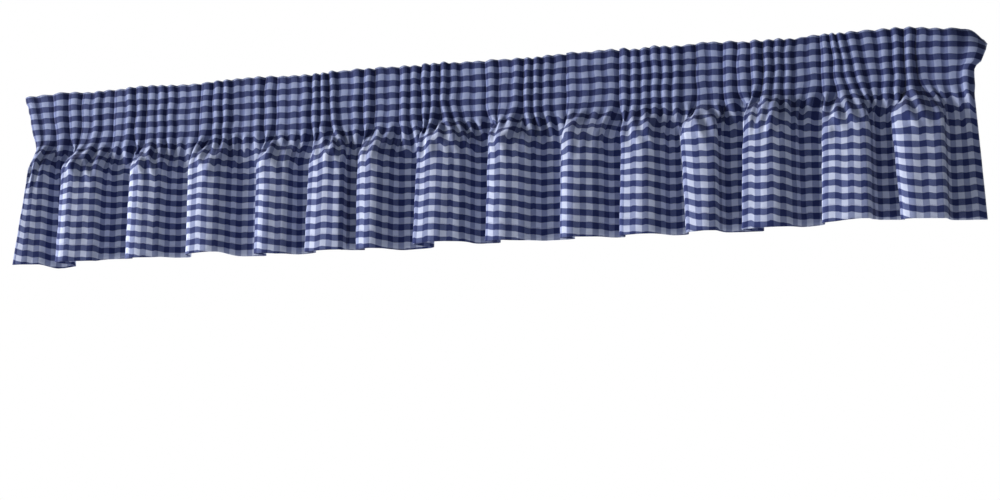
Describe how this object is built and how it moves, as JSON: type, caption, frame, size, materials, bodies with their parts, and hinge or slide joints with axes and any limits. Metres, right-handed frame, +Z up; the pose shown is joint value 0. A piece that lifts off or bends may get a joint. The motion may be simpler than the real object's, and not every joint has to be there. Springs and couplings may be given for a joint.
{
  "type": "window valance",
  "caption": "Short gathered gingham cotton curtain for the top of a window, with a narrowly pleated heading and a skirt that hangs in uneven folds.",
  "frame": {"origin": "middle of the straight part of the top edge, in the plane in which the cloth is held", "axes": "+X along the valance to the right as seen from the room, -Y towards the room, +Z up"},
  "size_m": [1.347, 0.0544, 0.2566],
  "materials": {
    "gingham_cotton": "woven cotton, matt"
  },
  "bodies": {
    "root": {"valance_cloth": "gingham_cotton"}
  },
  "joints": []
}
